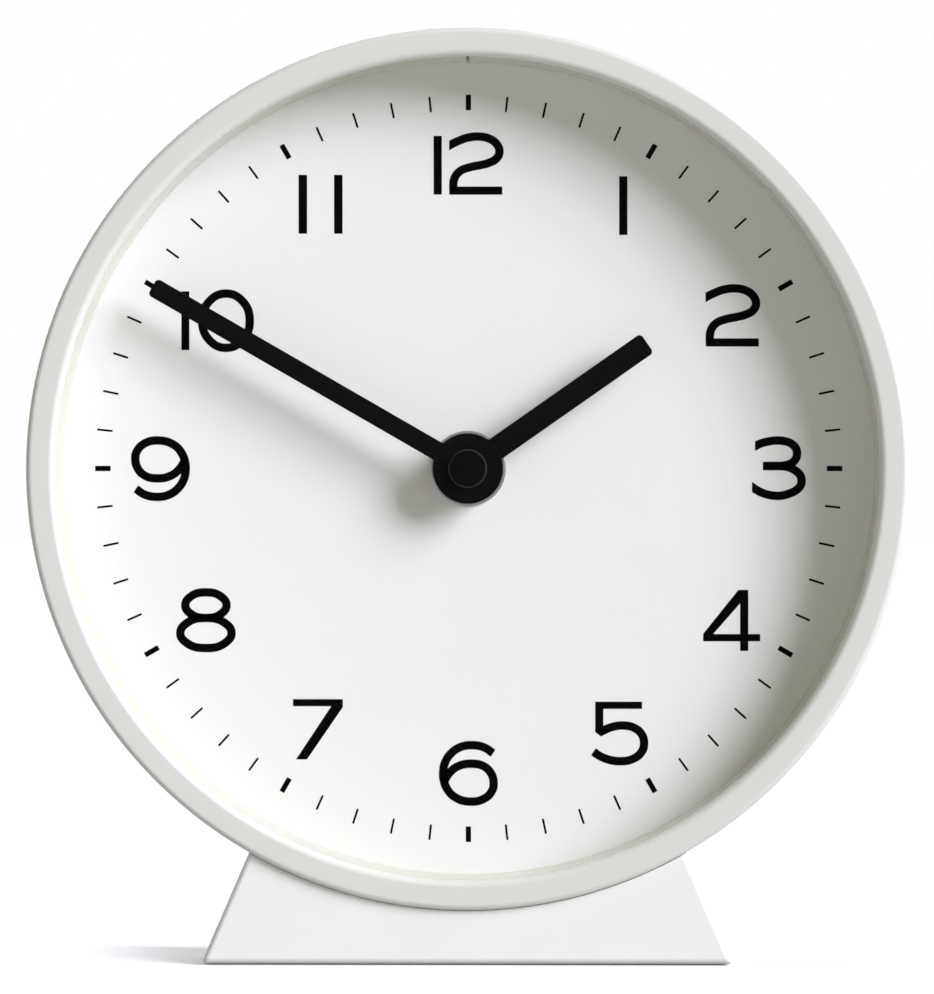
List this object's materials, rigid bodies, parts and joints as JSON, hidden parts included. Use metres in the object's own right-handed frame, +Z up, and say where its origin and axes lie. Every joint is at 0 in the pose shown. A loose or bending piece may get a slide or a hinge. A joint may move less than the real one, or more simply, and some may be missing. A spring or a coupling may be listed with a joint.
{
  "type": "desk clock",
  "caption": "Round white desk clock on a low leaning-sided plinth, with a deep dial, plain numbers, two straight black hands and a battery quartz movement.",
  "frame": {"origin": "on the ground under the middle of the clock, at the centre of its width and depth", "axes": "+Z up, the dial faces -Y, +X to the right as seen from the front"},
  "size_m": [0.175, 0.052, 0.186],
  "materials": {
    "case_white": "satin white",
    "lens_clear": "clear flat lens",
    "dial_white": "matt white",
    "hand_black": "painted satin black",
    "bright_steel": "plated",
    "brass": "turned",
    "black_rubber": "matt",
    "black_plastic": "fine grain",
    "amber_plastic": "natural",
    "core_iron": "stamped",
    "bobbin_black": "moulded",
    "copper_wire": "enamelled wire",
    "magnet": "sintered",
    "gear_white": "natural",
    "cell_jacket": "plain sleeve",
    "board_green": "lacquered",
    "crystal_can": "plated"
  },
  "bodies": {
    "case": {"front_bezel": "case_white", "case_drum": "case_white", "base_plinth": "case_white", "back_cover": "case_white", "reflector_ring": "case_white", "lens": "lens_clear", "dial_plate": "dial_white", "dial_washer": "bright_steel", "back_cover_screws": "bright_steel", "base_screws": "bright_steel", "bridge_screws": "bright_steel", "battery_contact_positive": "bright_steel", "battery_contact_negative": "bright_steel", "fixing_nut": "brass", "rubber_washer": "black_rubber", "base_feet": "black_rubber", "movement_front_plate": "black_plastic", "movement_rear_housing": "black_plastic", "base_plate": "black_plastic", "train_bridge": "amber_plastic", "stator": "core_iron", "coil_core": "core_iron", "coil_bobbin": "bobbin_black", "coil_winding": "copper_wire", "circuit_board": "board_green", "quartz_crystal": "crystal_can"},
    "minute_hand_group": {"minute_hand": "hand_black", "hand_cap_nut": "hand_black", "minute_arbor": "gear_white"},
    "hour_hand_group": {"hour_hand": "hand_black", "hour_wheel": "gear_white"},
    "setting_group": {"reversing_wheel": "gear_white", "setting_knob": "black_plastic"},
    "seconds_group": {"seconds_wheel": "gear_white"},
    "intermediate_group": {"intermediate_wheel": "gear_white"},
    "rotor_group": {"rotor": "magnet"},
    "third_group": {"third_wheel": "gear_white"},
    "centre_group": {"centre_wheel": "gear_white"},
    "battery_group": {"battery": "cell_jacket"}
  },
  "joints": [
    {"name": "minute_hand_turn", "type": "hinge", "parent": "case", "child": "minute_hand_group", "pos_m": [0, -0.0184, 0.0985], "axis": [0, 1, 0], "continuous": true},
    {"name": "hour_hand_turn", "type": "hinge", "parent": "case", "child": "hour_hand_group", "pos_m": [0, -0.0164, 0.0985], "axis": [0, 1, 0], "continuous": true},
    {"name": "setting_knob_turn", "type": "hinge", "parent": "case", "child": "setting_group", "pos_m": [0.0096, 0.01, 0.0985], "axis": [0, 1, 0], "continuous": true},
    {"name": "seconds_wheel_turn", "type": "hinge", "parent": "case", "child": "seconds_group", "pos_m": [0, 0, 0.0985], "axis": [0, 1, 0], "continuous": true},
    {"name": "intermediate_wheel_turn", "type": "hinge", "parent": "case", "child": "intermediate_group", "pos_m": [0, 0.001, 0.1061], "axis": [0, 1, 0], "continuous": true},
    {"name": "rotor_turn", "type": "hinge", "parent": "case", "child": "rotor_group", "pos_m": [0, 0, 0.11324], "axis": [0, 1, 0], "continuous": true},
    {"name": "third_wheel_turn", "type": "hinge", "parent": "case", "child": "third_group", "pos_m": [-0.009, -0.001, 0.0985], "axis": [0, 1, 0], "continuous": true},
    {"name": "centre_wheel_turn", "type": "hinge", "parent": "case", "child": "centre_group", "pos_m": [0, -0.003, 0.0985], "axis": [0, 1, 0], "continuous": true},
    {"name": "battery_slide", "type": "slide", "parent": "case", "child": "battery_group", "axis": [0, 1, 0], "range_m": [0, 0.034]}
  ],
  "couplings": [
    {"joint": "hour_hand_turn", "follows": "minute_hand_turn", "ratio": 0.083333},
    {"joint": "setting_knob_turn", "follows": "minute_hand_turn", "ratio": -0.33333},
    {"joint": "intermediate_wheel_turn", "follows": "seconds_wheel_turn", "ratio": -5},
    {"joint": "rotor_turn", "follows": "seconds_wheel_turn", "ratio": 30},
    {"joint": "third_wheel_turn", "follows": "seconds_wheel_turn", "ratio": -0.13333},
    {"joint": "centre_wheel_turn", "follows": "seconds_wheel_turn", "ratio": 0.016667}
  ]
}
